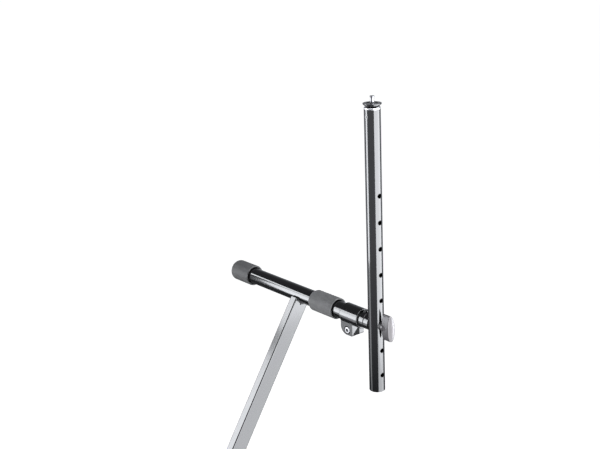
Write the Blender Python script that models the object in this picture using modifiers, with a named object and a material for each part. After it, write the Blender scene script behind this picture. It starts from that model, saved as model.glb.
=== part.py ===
"""Music stand: a folding base of rectangular tube, a horizontal arm and a height-adjustable mast.

+Z is up and the arm runs along X. The origin is on the floor, in the plane of the main leg,
straight below the pivot where the two legs cross.
"""

import math

import bmesh
import bpy

MM = 0.001
FIT = 0.3 * MM  # clearance between pieces that touch

# Layout of the stand
ARM_HEIGHT = 750 * MM
BAR_HEIGHT = 21 * MM
LEG_ANGLE = math.radians(33.4)  # from the vertical
MAST_X = 216 * MM
LEG_RUN = (ARM_HEIGHT - BAR_HEIGHT) / math.cos(LEG_ANGLE)  # arm axis to floor bar axis
ARM_Y = LEG_RUN / 2 * math.sin(LEG_ANGLE)
PIVOT_HEIGHT = (ARM_HEIGHT + BAR_HEIGHT) / 2

# Legs and floor bars
LEG_WIDTH = 35 * MM
LEG_THICK = 18 * MM
LEG_WALL = 1.5 * MM
LEG_CORNER = 2.5 * MM
LEG_END_SETBACK = 11.4 * MM  # from a round tube's axis to the square cut end
STRUT_X = -25 * MM
STRUT_TOP = 24 * MM  # beyond the pivot
BAR_RADIUS = 15 * MM
BAR_HALF_LENGTH = 258 * MM
FOOT_RADIUS = 22 * MM
ARM_CAP_RADIUS = 21.6 * MM
CAP_LENGTH = 63 * MM
CAP_END = 6 * MM
CAP_ROUNDING = 8 * MM
CAP_LIP = 1.2 * MM

# Arm
ARM_RADIUS = 16.5 * MM
TUBE_WALL = 1.5 * MM
ARM_LEFT = -428 * MM + MAST_X
ARM_RIGHT = -36 * MM + MAST_X
SLEEVE_LEFT = -174 * MM + MAST_X
SLEEVE_RIGHT = -105 * MM + MAST_X
SLEEVE_RADIUS = 21.2 * MM
SLEEVE_SHOULDER = 5 * MM
ARM_SLOT = 3 * MM
ARM_SLOT_LENGTH = 48 * MM

# Clamp at the arm's end
COLLAR_LEFT = -83 * MM + MAST_X
COLLAR_RIGHT = -34 * MM + MAST_X
COLLAR_RADIUS = 19.5 * MM
EAR_LEFT = -82.4 * MM + MAST_X
EAR_RIGHT = -50 * MM + MAST_X
EAR_BOTTOM = 38 * MM  # below the arm axis
EAR_HALF_WIDTH = 15 * MM
SLIT_Y = 3 * MM
SLIT = 1.5 * MM
CLAMP_SCREW_X = -64.5 * MM + MAST_X
CLAMP_SCREW_DROP = 28.3 * MM
SCREW_HEAD_RADIUS = 6.5 * MM
SCREW_HEAD_PROUD = 0.7 * MM
SINK_DEPTH = 8.5 * MM
SINK_RADIUS = 8 * MM
NUT_DEPTH = 5 * MM
M8_RADIUS = 4 * MM
M8_NUT_RADIUS = 7.4 * MM  # across corners, halved

# Telescoping spigot and swivelling head
SPIGOT_RADIUS = 14 * MM
SPIGOT_WALL = 2 * MM
SPIGOT_LEFT = -150 * MM + MAST_X
SPIGOT_RIGHT = -22.6 * MM + MAST_X
HEAD_LEFT = -33.4 * MM + MAST_X
HEAD_RIGHT = -19.8 * MM + MAST_X
HEAD_RADIUS = 16 * MM
HEAD_CORE_LEFT = -42 * MM + MAST_X
SADDLE_LEFT = -19.4 * MM + MAST_X
SADDLE_RIGHT = -8 * MM + MAST_X
SADDLE_RADIUS = 18 * MM
LOCK_SCREW_X = -28 * MM + MAST_X

# Mast
MAST_RADIUS = 15 * MM
MAST_BOTTOM = ARM_HEIGHT - 134 * MM
MAST_TOP = ARM_HEIGHT + 406 * MM
HOLE_PITCH = 50 * MM
HOLES_ABOVE = 5  # above the one that the knob's bolt goes through
HOLES_BELOW = 2
HOLE_RADIUS = 4.6 * MM
TOP_FLANGE = 3.2 * MM
DISC_RADIUS = 16.9 * MM
DISC_HEIGHT = 6.6 * MM
STUD_TOP = ARM_HEIGHT + 429 * MM
STUD_RADIUS = 3.6 * MM

# Knob on the mast
WASHER_RIGHT = 18.2 * MM + MAST_X
HUB_LEFT = 18.6 * MM + MAST_X
BLADE_LEFT = 20.6 * MM + MAST_X
BLADE_RIGHT = 37.3 * MM + MAST_X
DOME_RIGHT = 47 * MM + MAST_X
BLADE_HALF_HEIGHT = 26 * MM
BLADE_HALF_WIDTH = 6.5 * MM
HUB_RADIUS = 8.5 * MM

# Pivot of the two legs
CLUTCH_RADIUS = 24 * MM
M10_RADIUS = 5 * MM
PIVOT_SLEEVE_RADIUS = 7 * MM
PIVOT_WASHER = 2 * MM
BOLT_HEAD_RADIUS = 11 * MM
PIVOT_KNOB_RADIUS = 27 * MM
PIVOT_KNOB_LOBES = 6

KNOB_OUTLINE_STEPS = 60
ROUND_STEPS = 28
SMALL_STEPS = 16
MAST_STEPS = 36

ALONG = {
    "X": (0, math.pi / 2, 0),
    "-X": (0, -math.pi / 2, 0),
    "Y": (-math.pi / 2, 0, 0),
    "-Y": (math.pi / 2, 0, 0),
    "Z": (0, 0, 0),
}


def clear_scene():
    for item in list(bpy.data.objects):
        bpy.data.objects.remove(item, do_unlink=True)


def make_collection(name):
    group = bpy.data.collections.new(name)
    bpy.context.scene.collection.children.link(group)
    return group


clear_scene()
PARTS = make_collection("music_stand")
CUTTERS = make_collection("cutters")


def make_material(name, colour, roughness, metallic=0.0):
    look = bpy.data.materials.new(name)
    look.use_nodes = True
    shader = look.node_tree.nodes["Principled BSDF"]
    shader.inputs["Base Color"].default_value = (*colour, 1)
    shader.inputs["Roughness"].default_value = roughness
    shader.inputs["Metallic"].default_value = metallic
    return look


BLACK_COAT = make_material("black_coat", (0.012, 0.012, 0.013), 0.2)
GREY_RUBBER = make_material("grey_rubber", (0.09, 0.09, 0.095), 0.75)
BLACK_PLASTIC = make_material("black_plastic", (0.015, 0.015, 0.016), 0.45)
GREY_PLASTIC = make_material("grey_plastic", (0.2, 0.19, 0.2), 0.4)
PALE_PLASTIC = make_material("pale_plastic", (0.5, 0.49, 0.5), 0.35)
ZINC = make_material("zinc", (0.75, 0.75, 0.76), 0.25, 1.0)


def add_object(name, mesh, look, group=PARTS):
    item = bpy.data.objects.new(name, mesh)
    if look:
        mesh.materials.append(look)
    group.objects.link(item)
    if group is CUTTERS:
        item.hide_render = True
        item.display_type = "WIRE"
    return item


def place(item, at, along="Z"):
    """Puts an object at a point, with its local Z along an axis."""
    item.location = at
    item.rotation_euler = ALONG[along]
    return item


def turned(
    name, profile, look, at, along="Z", steps=ROUND_STEPS, closed=False, group=PARTS, spin=0.0
):
    """Turns a profile of (radius, height) points, listed down its outer side, about local Z.

    spin is the angle about local Z at which the first facet starts.
    """
    mesh = bpy.data.meshes.new(name)
    points = [(r * math.cos(spin), r * math.sin(spin), height) for r, height in profile]
    edges = [(i, i + 1) for i in range(len(points) - 1)]
    if closed:
        edges.append((len(points) - 1, 0))
    mesh.from_pydata(points, edges, [])
    item = add_object(name, mesh, look, group)
    screw = item.modifiers.new("turn", "SCREW")
    screw.axis = "Z"
    screw.steps = steps
    screw.render_steps = steps
    screw.use_merge_vertices = True
    screw.merge_threshold = 0.00001
    screw.use_smooth_shade = True
    return place(item, at, along)


def rod_profile(radius, length, edge=0.0):
    return [
        (0, length),
        (radius - edge, length),
        (radius, length - edge),
        (radius, edge),
        (radius - edge, 0),
        (0, 0),
    ] if edge else [(0, length), (radius, length), (radius, 0), (0, 0)]


def ring_profile(outer, inner, length):
    return [(outer, length), (outer, 0), (inner, 0), (inner, length)]


def rod(name, radius, length, look, at, along="Z", edge=0.0, steps=ROUND_STEPS):
    return turned(name, rod_profile(radius, length, edge), look, at, along, steps)


def ring(name, outer, inner, length, look, at, along="Z", steps=ROUND_STEPS):
    return turned(name, ring_profile(outer, inner, length), look, at, along, steps, closed=True)


def arc(centre, radius, start, end, count):
    """Points on an arc, from one angle in degrees to another."""
    angles = [math.radians(start + (end - start) * i / count) for i in range(count + 1)]
    return [(centre[0] + radius * math.cos(a), centre[1] + radius * math.sin(a)) for a in angles]


def extruded(name, outline, depth, look, at, along="Z", group=PARTS):
    """A flat outline in local XY, given thickness along local Z both ways, as a closed mesh."""
    curve = bpy.data.curves.new(name, "CURVE")
    curve.dimensions = "2D"
    curve.fill_mode = "BOTH"
    curve.extrude = depth / 2
    spline = curve.splines.new("POLY")
    spline.points.add(len(outline) - 1)
    for point, (x, y) in zip(spline.points, outline):
        point.co = (x, y, 0, 1)
    spline.use_cyclic_u = True
    drawn = bpy.data.objects.new(name + "_curve", curve)
    bpy.context.scene.collection.objects.link(drawn)
    graph = bpy.context.evaluated_depsgraph_get()
    mesh = bpy.data.meshes.new_from_object(drawn.evaluated_get(graph))
    bpy.data.objects.remove(drawn)
    weld = bmesh.new()
    weld.from_mesh(mesh)
    bmesh.ops.remove_doubles(weld, verts=weld.verts, dist=0.00001)
    bmesh.ops.recalc_face_normals(weld, faces=weld.faces)
    weld.to_mesh(mesh)
    weld.free()
    return place(add_object(name, mesh, look, group), at, along)


def block_mesh(name, size, corner=0.0, segments=3):
    """A box about its centre whose four edges along Z are rounded."""
    shape = bmesh.new()
    bmesh.ops.create_cube(shape, size=1)
    bmesh.ops.scale(shape, verts=shape.verts, vec=size)
    if corner:
        upright = [e for e in shape.edges if abs(e.verts[0].co.z - e.verts[1].co.z) > size[2] / 2]
        bmesh.ops.bevel(
            shape, geom=upright, offset=corner, segments=segments, affect="EDGES", profile=0.5
        )
    mesh = bpy.data.meshes.new(name)
    shape.to_mesh(mesh)
    shape.free()
    return mesh


def cut(target, cutter, operation="DIFFERENCE"):
    change = target.modifiers.new(operation.lower(), "BOOLEAN")
    change.operation = operation
    change.object = cutter
    return target


def bore(target, radius, length, at, along="Z", steps=SMALL_STEPS):
    """Drills a round hole that starts at a point and runs along an axis."""
    name = f"{target.name}_bore_{len(target.modifiers)}"
    off_the_seams = math.pi / steps * 0.63
    drill = turned(
        name, rod_profile(radius, length), None, at, along, steps, group=CUTTERS, spin=off_the_seams
    )
    return cut(target, drill)


def hexagon(radius):
    return [
        (radius * math.cos(math.radians(60 * i)), radius * math.sin(math.radians(60 * i)))
        for i in range(6)
    ]


def joint_axis(name, at):
    """An empty on a joint's axis, which carries the pieces that move about it."""
    empty = bpy.data.objects.new(name, None)
    empty.empty_display_size = 0.02
    PARTS.objects.link(empty)
    empty.location = at
    return empty


def carry(empty, *items):
    for item in items:
        item.parent = empty
        item.location = item.location - empty.location


def arm_point(x, y=0.0, z=0.0):
    """A point beside the arm's axis, at a given X."""
    return (x, ARM_Y + y, ARM_HEIGHT + z)


def rubber_cap(name, at, along, radius, inner_radius, flat=None):
    """A closed rubber cap with a rounded end, pushed on a tube. Local Z points out of the tube."""
    rounding = arc((radius - CAP_ROUNDING, CAP_LENGTH - CAP_ROUNDING), CAP_ROUNDING, 90, 0, 4)
    profile = [(0, CAP_LENGTH)] + rounding
    profile += [
        (radius, CAP_LIP),
        (radius - CAP_LIP, 0),
        (inner_radius + 1.5 * MM, 0),
        (inner_radius + FIT, 5 * MM),
        (inner_radius + FIT, CAP_LENGTH - CAP_END),
        (0, CAP_LENGTH - CAP_END),
    ]
    cap = turned(name, profile, GREY_RUBBER, at, along)
    if flat is not None:
        size = (CAP_LENGTH * 3, radius * 2, radius)
        foot = add_object(name + "_flat", block_mesh(name + "_flat", size), None, CUTTERS)
        foot.location = (at[0], at[1], flat - size[2] / 2)
        cut(cap, foot)
    return cap


def rectangular_tube(name, lower, upper, x, tilt):
    """A hollow rectangular tube in a plane across X. lower and upper are measured from the pivot."""
    length = upper - lower
    mesh = block_mesh(name, (LEG_THICK, LEG_WIDTH, length), LEG_CORNER)
    leg = add_object(name, mesh, BLACK_COAT)
    hollow_size = (LEG_THICK - 2 * LEG_WALL, LEG_WIDTH - 2 * LEG_WALL, length + 20 * MM)
    hollow_mesh = block_mesh(name + "_hollow", hollow_size, LEG_CORNER - LEG_WALL, 2)
    hollow = add_object(name + "_hollow", hollow_mesh, None, CUTTERS)
    middle = (lower + upper) / 2
    for item in (leg, hollow):
        item.rotation_euler = (tilt, 0, 0)
        item.location = (
            x,
            -math.sin(tilt) * middle,
            PIVOT_HEIGHT + math.cos(tilt) * middle,
        )
    return cut(leg, hollow)


def build_main_leg():
    reach = LEG_RUN / 2 - LEG_END_SETBACK
    leg = rectangular_tube("main_leg", -reach, reach, 0, -LEG_ANGLE)
    half = LEG_THICK
    bore(leg, ARM_RADIUS + FIT, 2 * half, arm_point(-half), "X", ROUND_STEPS)
    bore(leg, BAR_RADIUS + FIT, 2 * half, (-half, -ARM_Y, BAR_HEIGHT), "X", ROUND_STEPS)
    bore(leg, PIVOT_SLEEVE_RADIUS + FIT, 2 * half, (-half, 0, PIVOT_HEIGHT), "X")
    vent_y = -10.8 * MM
    bore(leg, 2.2 * MM, LEG_THICK, arm_point(0, vent_y, -15.5 * MM), "X", 16)
    return leg


def build_strut():
    reach = LEG_RUN / 2 - LEG_END_SETBACK
    strut = rectangular_tube("rear_strut", -reach, STRUT_TOP, STRUT_X, LEG_ANGLE)
    start = STRUT_X - LEG_THICK
    bore(strut, BAR_RADIUS + FIT, 2 * LEG_THICK, (start, ARM_Y, BAR_HEIGHT), "X", ROUND_STEPS)
    bore(strut, PIVOT_SLEEVE_RADIUS + FIT, 2 * LEG_THICK, (start, 0, PIVOT_HEIGHT), "X")
    return strut


def build_strut_plug():
    """Plastic insert that closes the strut's free upper end."""
    flange = 2 * MM
    depth = 12 * MM
    body_size = (
        LEG_THICK - 2 * (LEG_WALL + FIT),
        LEG_WIDTH - 2 * (LEG_WALL + FIT),
        depth,
    )
    body = block_mesh("strut_end_plug", body_size, 0.6 * MM, 2)
    plug = add_object("strut_end_plug", body, BLACK_PLASTIC)
    top_size = (LEG_THICK, LEG_WIDTH, flange)
    top = add_object("plug_flange", block_mesh("plug_flange", top_size, LEG_CORNER), None, CUTTERS)
    along = STRUT_TOP + FIT - depth / 2 + 1 * MM
    for item, distance in ((plug, along), (top, STRUT_TOP + FIT + flange / 2)):
        item.rotation_euler = (LEG_ANGLE, 0, 0)
        item.location = (
            STRUT_X,
            -math.sin(LEG_ANGLE) * distance,
            PIVOT_HEIGHT + math.cos(LEG_ANGLE) * distance,
        )
    return cut(plug, top, "UNION")


def build_floor_bar(prefix, y):
    """A round floor bar with a rubber cap on each end. The caps' flats stand on the floor."""
    start = (-BAR_HALF_LENGTH, y, BAR_HEIGHT)
    inner = BAR_RADIUS - TUBE_WALL
    bar = ring(prefix + "_floor_bar", BAR_RADIUS, inner, 2 * BAR_HALF_LENGTH, BLACK_COAT, start, "X")
    seat = BAR_HALF_LENGTH + FIT + CAP_END - CAP_LENGTH
    left_at = (-seat, y, BAR_HEIGHT)
    right_at = (seat, y, BAR_HEIGHT)
    left = rubber_cap(prefix + "_foot_left", left_at, "-X", FOOT_RADIUS, BAR_RADIUS, 0)
    right = rubber_cap(prefix + "_foot_right", right_at, "X", FOOT_RADIUS, BAR_RADIUS, 0)
    return [bar, left, right]


def build_pivot():
    """Bolt, sleeves, friction discs and clamping knob at the crossing of the two legs."""
    half = LEG_THICK / 2
    sleeve_bore = M10_RADIUS + 0.2 * MM
    strut_face = STRUT_X - half
    disc = 2.9 * MM
    gap = FIT + disc

    def on_axis(x):
        return (x, 0, PIVOT_HEIGHT)

    def steel_ring(name, radius, length, x):
        return ring(name, radius, sleeve_bore, length, ZINC, on_axis(x), "X", SMALL_STEPS)

    def friction_disc(name, x):
        return ring(name, CLUTCH_RADIUS, sleeve_bore, disc, BLACK_PLASTIC, on_axis(x), "X")

    steel_ring("pivot_sleeve_leg", PIVOT_SLEEVE_RADIUS, LEG_THICK, -half)
    friction_disc("clutch_disc_leg", -half - gap)
    steel_ring("pivot_washer", BOLT_HEAD_RADIUS, PIVOT_WASHER, half + FIT)
    build_pivot_bolt(on_axis(strut_face - FIT))
    moving = [
        steel_ring("pivot_sleeve_strut", PIVOT_SLEEVE_RADIUS, LEG_THICK, strut_face),
        friction_disc("clutch_disc_strut", STRUT_X + half + FIT),
    ]
    knob = build_pivot_knob(on_axis(half + PIVOT_WASHER + 2 * FIT), sleeve_bore)
    return moving, knob


def build_pivot_bolt(at):
    """Domed bolt through both legs. Local Z points along the shank."""
    length = 62 * MM
    dome = 4 * MM
    base = 1 * MM
    crown = arc((BOLT_HEAD_RADIUS - dome, -base), dome, 0, -90, 4)
    profile = [(0, length), (M10_RADIUS - MM, length), (M10_RADIUS, length - MM)]
    profile += [(M10_RADIUS, 0), (BOLT_HEAD_RADIUS, 0)]
    profile += crown + [(0, -base - dome)]
    return turned("pivot_bolt", profile, ZINC, at, "X", SMALL_STEPS)


def build_pivot_knob(at, insert_bore):
    """Lobed clamping knob with a steel insert. Local Z points away from the leg."""
    hub_height = 8 * MM
    grip_height = 16 * MM
    lobe_depth = 3 * MM
    outline = []
    for i in range(KNOB_OUTLINE_STEPS):
        angle = math.tau * i / KNOB_OUTLINE_STEPS
        radius = PIVOT_KNOB_RADIUS - lobe_depth * (1 - math.cos(PIVOT_KNOB_LOBES * angle)) / 2
        outline.append((radius * math.cos(angle), radius * math.sin(angle)))
    grip_at = (at[0] + hub_height + grip_height / 2, at[1], at[2])
    grip = extruded("pivot_knob", outline, grip_height, BLACK_PLASTIC, grip_at, "X")
    hub_top = 16 * MM
    hub_foot = 12 * MM
    hub_profile = [(0, hub_height + MM), (hub_top, hub_height + MM), (hub_foot, 0), (0, 0)]
    hub = turned("pivot_knob_hub", hub_profile, None, at, "X", SMALL_STEPS, group=CUTTERS)
    cut(grip, hub, "UNION")
    depth = 19 * MM
    insert_radius = 8 * MM
    bore(grip, insert_radius + FIT, depth + FIT + MM, (at[0] - MM, at[1], at[2]), "X")
    insert = ring("pivot_knob_insert", insert_radius, insert_bore, depth, ZINC, at, "X", SMALL_STEPS)
    return [grip, insert]


def build_arm():
    inner = ARM_RADIUS - TUBE_WALL
    length = ARM_RIGHT - ARM_LEFT
    start = arm_point(ARM_LEFT)
    tube = ring("support_arm_tube", ARM_RADIUS, inner, length, BLACK_COAT, start, "X")
    slot_size = (ARM_SLOT_LENGTH * 2, ARM_SLOT, ARM_RADIUS * 2)
    slot = add_object("arm_slot", block_mesh("arm_slot", slot_size), None, CUTTERS)
    slot.location = arm_point(ARM_RIGHT, SLIT_Y, -ARM_RADIUS)
    cut(tube, slot)
    cap_seat = ARM_LEFT - FIT - CAP_END + CAP_LENGTH
    cap = rubber_cap("arm_end_cap", arm_point(cap_seat), "-X", ARM_CAP_RADIUS, ARM_RADIUS)
    return [tube, cap, build_sleeve()]


def build_sleeve():
    """Rubber sleeve, rounded at the left and countersunk at its mouth on the right."""
    length = SLEEVE_RIGHT - SLEEVE_LEFT
    grip = ARM_RADIUS + FIT
    drop = SLEEVE_RADIUS - grip - 0.2 * MM
    mouth_edge = 1.2 * MM
    mouth_wall = 2.5 * MM
    mouth_depth = 9 * MM
    lip = SLEEVE_RADIUS - mouth_edge
    mouth = SLEEVE_RADIUS - mouth_wall
    profile = [(lip, length), (SLEEVE_RADIUS, length - mouth_edge)]
    profile += [
        (SLEEVE_RADIUS - drop * (1 - x), SLEEVE_SHOULDER * (1 + z))
        for x, z in arc((0, 0), 1, 0, -90, 4)
    ]
    profile += [(grip, 0), (grip, length - mouth_depth), (mouth, length - MM), (mouth, length)]
    return turned("arm_sleeve", profile, GREY_RUBBER, arm_point(SLEEVE_LEFT), "X", closed=True)


def build_collar():
    """Split clamp with two ears below the arm, drawn together by one screw."""
    length = COLLAR_RIGHT - COLLAR_LEFT
    edge = 1 * MM
    back_edge = 2 * MM
    profile = [(0, length), (COLLAR_RADIUS - edge, length), (COLLAR_RADIUS, length - edge)]
    profile += arc((COLLAR_RADIUS - back_edge, back_edge), back_edge, 0, -90, 3) + [(0, 0)]
    collar = turned("clamp_collar", profile, BLACK_COAT, arm_point(COLLAR_LEFT), "X")
    bottom_radius = 22 * MM
    corner = 3 * MM
    middle_x = EAR_LEFT + bottom_radius
    sweep = arc((middle_x, -EAR_BOTTOM + bottom_radius), bottom_radius, 180, 270, 8)
    heel = arc((EAR_RIGHT - corner, -EAR_BOTTOM + corner), corner, 270, 360, 3)
    outline = [(EAR_LEFT, -4 * MM)] + sweep + heel + [(EAR_RIGHT, -4 * MM)]
    ears = extruded("clamp_ears", outline, 2 * EAR_HALF_WIDTH, None, arm_point(0), "-Y", CUTTERS)
    cut(collar, ears, "UNION")
    through = length + 20 * MM
    bore(collar, ARM_RADIUS + FIT, through, arm_point(COLLAR_LEFT - 10 * MM), "X", ROUND_STEPS)
    slit_size = (through, SLIT, EAR_BOTTOM)
    slit = add_object("clamp_slit", block_mesh("clamp_slit", slit_size), None, CUTTERS)
    slit.location = arm_point((COLLAR_LEFT + COLLAR_RIGHT) / 2, SLIT_Y, -10 * MM - EAR_BOTTOM / 2)
    cut(collar, slit)
    drop = -CLAMP_SCREW_DROP
    bore(collar, M8_RADIUS + 0.4 * MM, 40 * MM, arm_point(CLAMP_SCREW_X, -20 * MM, drop), "Y")
    clear = 5 * MM
    sink = arm_point(CLAMP_SCREW_X, -EAR_HALF_WIDTH - clear, drop)
    bore(collar, SINK_RADIUS, clear + SINK_DEPTH, sink, "Y")
    nut_at = arm_point(CLAMP_SCREW_X, EAR_HALF_WIDTH, drop)
    nut_outline = hexagon(M8_NUT_RADIUS + FIT)
    pocket = extruded("nut_pocket", nut_outline, 2 * NUT_DEPTH, None, nut_at, "Y", CUTTERS)
    return cut(collar, pocket)


def build_clamp_screw():
    """Socket-head screw across the ears. It carries its own origin on its axis."""
    head_face = -EAR_HALF_WIDTH - SCREW_HEAD_PROUD
    seat = -EAR_HALF_WIDTH + SINK_DEPTH - FIT
    length = EAR_HALF_WIDTH - seat - MM
    profile = [
        (0, length),
        (M8_RADIUS - 0.7 * MM, length),
        (M8_RADIUS, length - 0.7 * MM),
        (M8_RADIUS, 0),
        (SCREW_HEAD_RADIUS, 0),
        (SCREW_HEAD_RADIUS, head_face - seat + 0.6 * MM),
        (SCREW_HEAD_RADIUS - 0.6 * MM, head_face - seat),
        (0, head_face - seat),
    ]
    at = arm_point(CLAMP_SCREW_X, seat, -CLAMP_SCREW_DROP)
    screw = turned("clamp_screw", profile, ZINC, at, "Y", SMALL_STEPS)
    key_at = arm_point(CLAMP_SCREW_X, head_face, -CLAMP_SCREW_DROP)
    key = extruded("screw_socket", hexagon(3.5 * MM), 8 * MM, None, key_at, "Y", CUTTERS)
    return cut(screw, key)


def hex_nut(name, thickness, at, along):
    nut = extruded(name, hexagon(M8_NUT_RADIUS), thickness, ZINC, at, along)
    start = [at[i] - (thickness if along.endswith("XYZ"[i]) else 0) for i in range(3)]
    return bore(nut, M8_RADIUS + 0.2 * MM, 2 * thickness, start, along)


def build_liner():
    """Plastic bushing between the arm tube and the spigot, with a flange over the tube's end."""
    inner = SPIGOT_RADIUS + 0.25 * MM
    outer = ARM_RADIUS - TUBE_WALL - 0.25 * MM
    flange = 16.3 * MM
    body = 44 * MM
    total = body + 1.4 * MM
    profile = [(flange, total), (flange, body), (outer, body), (outer, 0), (inner, 0), (inner, total)]
    at = arm_point(ARM_RIGHT + FIT - body)
    return turned("clamp_liner", profile, BLACK_PLASTIC, at, "X", closed=True)


def build_spigot():
    inner = SPIGOT_RADIUS - SPIGOT_WALL
    length = SPIGOT_RIGHT - SPIGOT_LEFT
    start = arm_point(SPIGOT_LEFT)
    tube = ring("adapter_spigot", SPIGOT_RADIUS, inner, length, BLACK_COAT, start, "X")
    flange = 6 * MM
    depth = 12 * MM
    runner = ARM_RADIUS - TUBE_WALL - FIT
    profile = [
        (0, flange + depth),
        (inner - FIT, flange + depth),
        (inner - FIT, flange),
        (runner, flange),
        (runner, MM),
        (runner - MM, 0),
        (0, 0),
    ]
    plug_at = arm_point(SPIGOT_LEFT - FIT - flange)
    plug = turned("spigot_end_plug", profile, BLACK_PLASTIC, plug_at, "X")
    return [tube, plug]


def build_head():
    """Casting that swivels on the spigot's end. A core inside the spigot holds the captive nut."""
    def along(x):
        return x - HEAD_CORE_LEFT

    core = SPIGOT_RADIUS - SPIGOT_WALL - 0.4 * MM
    cup = SPIGOT_RADIUS + FIT
    floor = along(SPIGOT_RIGHT + FIT)
    edge = 1 * MM
    profile = [
        (0, along(HEAD_RIGHT)),
        (HEAD_RADIUS - edge, along(HEAD_RIGHT)),
        (HEAD_RADIUS, along(HEAD_RIGHT) - edge),
        (HEAD_RADIUS, along(HEAD_LEFT) + edge),
        (HEAD_RADIUS - edge, along(HEAD_LEFT)),
        (cup, along(HEAD_LEFT)),
        (cup, floor),
        (core, floor),
        (core, 0),
        (0, 0),
    ]
    head = turned("swivel_head", profile, BLACK_COAT, arm_point(HEAD_CORE_LEFT), "X")
    boss_top = 19 * MM
    boss_foot = 14.6 * MM
    boss_profile = rod_profile(5.2 * MM, boss_top - boss_foot, 0.5 * MM)
    boss_at = arm_point(LOCK_SCREW_X, 0, boss_foot)
    boss = turned("lock_boss", boss_profile, None, boss_at, "Z", SMALL_STEPS, group=CUTTERS)
    cut(head, boss, "UNION")
    bore(head, M8_RADIUS + 0.3 * MM, 60 * MM, arm_point(HEAD_CORE_LEFT - MM), "X")
    bore(head, 2.8 * MM, 8 * MM, arm_point(LOCK_SCREW_X, 0, 13 * MM), "Z", 24)
    nut_depth = 6.8 * MM
    nut_outline = hexagon(M8_NUT_RADIUS + FIT)
    nut_at = arm_point(HEAD_CORE_LEFT)
    pocket = extruded("head_pocket", nut_outline, 2 * nut_depth, None, nut_at, "X", CUTTERS)
    cut(head, pocket)
    nut = hex_nut("captive_nut", 6.3 * MM, arm_point(HEAD_CORE_LEFT + 3.35 * MM), "X")
    return [head, nut]


def build_lock_screw():
    """Grub screw in the head's boss. It presses on the spigot and stops the swivel."""
    length = 4 * MM
    at = arm_point(LOCK_SCREW_X, 0, SPIGOT_RADIUS + FIT)
    screw = turned("head_lock_screw", rod_profile(2.5 * MM, length, 0.3 * MM), ZINC, at, "Z", 24)
    key_at = (at[0], at[1], at[2] + length)
    key = extruded("lock_socket", hexagon(1.4 * MM), 3 * MM, None, key_at, "Z", CUTTERS)
    return cut(screw, key)


def build_saddle():
    """Block between the head and the mast, hollowed to the mast's radius and flared towards it."""
    length = SADDLE_RIGHT - SADDLE_LEFT
    profile = [
        (0, length),
        (SADDLE_RADIUS, length),
        (SADDLE_RADIUS, length - 1.5 * MM),
        (HEAD_RADIUS, length * 0.35),
        (HEAD_RADIUS, 0.8 * MM),
        (HEAD_RADIUS - 0.8 * MM, 0),
        (0, 0),
    ]
    saddle = turned("saddle_block", profile, BLACK_COAT, arm_point(SADDLE_LEFT), "X")
    low = arm_point(MAST_X, 0, -30 * MM)
    bore(saddle, MAST_RADIUS + FIT, 60 * MM, low, "Z", MAST_STEPS)
    return bore(saddle, M8_RADIUS + 0.3 * MM, 40 * MM, arm_point(SADDLE_LEFT - MM), "X")


def build_mast():
    length = MAST_TOP - MAST_BOTTOM
    inner = MAST_RADIUS - TUBE_WALL
    at = (MAST_X, ARM_Y, MAST_BOTTOM)
    tube = ring("mast_tube", MAST_RADIUS, inner, length, BLACK_COAT, at, "Z", MAST_STEPS)
    for step in range(-HOLES_BELOW, HOLES_ABOVE + 1):
        start = arm_point(MAST_X - 2 * MAST_RADIUS, 0, step * HOLE_PITCH)
        bore(tube, HOLE_RADIUS, 4 * MAST_RADIUS, start, "X", 12)
    plug_radius = inner - FIT
    plug_depth = 12 * MM
    top = plug_depth + TOP_FLANGE
    top_profile = [
        (MAST_RADIUS - MM, top),
        (MAST_RADIUS - 0.3 * MM, top - 0.3 * MM),
        (MAST_RADIUS, top - MM),
        (MAST_RADIUS, plug_depth),
        (plug_radius, plug_depth),
        (plug_radius, 0),
        (STUD_RADIUS + FIT, 0),
        (STUD_RADIUS + FIT, top),
    ]
    top_at = (MAST_X, ARM_Y, MAST_TOP + FIT - plug_depth)
    top_plug = turned("mast_top_plug", top_profile, ZINC, top_at, "Z", closed=True)
    bottom_at = (MAST_X, ARM_Y, MAST_BOTTOM + 0.4 * MM)
    bottom_plug = rod(
        "mast_bottom_plug", plug_radius, plug_depth, BLACK_PLASTIC, bottom_at, "Z", 0.6 * MM
    )
    return [tube, top_plug, bottom_plug, build_stud()]


def build_stud():
    """Headed stud on which a music desk is fastened. Its foot is pressed in the mast's top plug."""
    foot = MAST_TOP - 10 * MM
    length = STUD_TOP - foot
    head_radius = 4.4 * MM
    profile = [
        (0, length),
        (head_radius - 0.5 * MM, length),
        (head_radius, length - 0.5 * MM),
        (head_radius, length - 1.7 * MM),
        (STUD_RADIUS, length - 2.2 * MM),
        (STUD_RADIUS, 0),
        (0, 0),
    ]
    return turned("desk_stud", profile, ZINC, (MAST_X, ARM_Y, foot), "Z", SMALL_STEPS)


def build_lock_disc():
    """Round locking nut on the stud. A desk sits on its flat rim."""
    bore_radius = STUD_RADIUS + 0.25 * MM
    dish = DISC_HEIGHT - 0.9 * MM
    profile = [
        (DISC_RADIUS - 0.4 * MM, DISC_HEIGHT),
        (DISC_RADIUS, DISC_HEIGHT - 0.4 * MM),
        (DISC_RADIUS, DISC_HEIGHT - 1.4 * MM),
        (DISC_RADIUS - 1.2 * MM, DISC_HEIGHT - 2.8 * MM),
        (DISC_RADIUS - 4 * MM, 1.6 * MM),
        (DISC_RADIUS - 7.5 * MM, 0),
        (bore_radius, 0),
        (bore_radius, dish),
        (DISC_RADIUS - 7 * MM, dish),
        (DISC_RADIUS - 6 * MM, DISC_HEIGHT),
    ]
    at = (MAST_X, ARM_Y, MAST_TOP + TOP_FLANGE + 2 * FIT)
    return turned("stud_lock_disc", profile, BLACK_COAT, at, "Z", closed=True)


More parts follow.
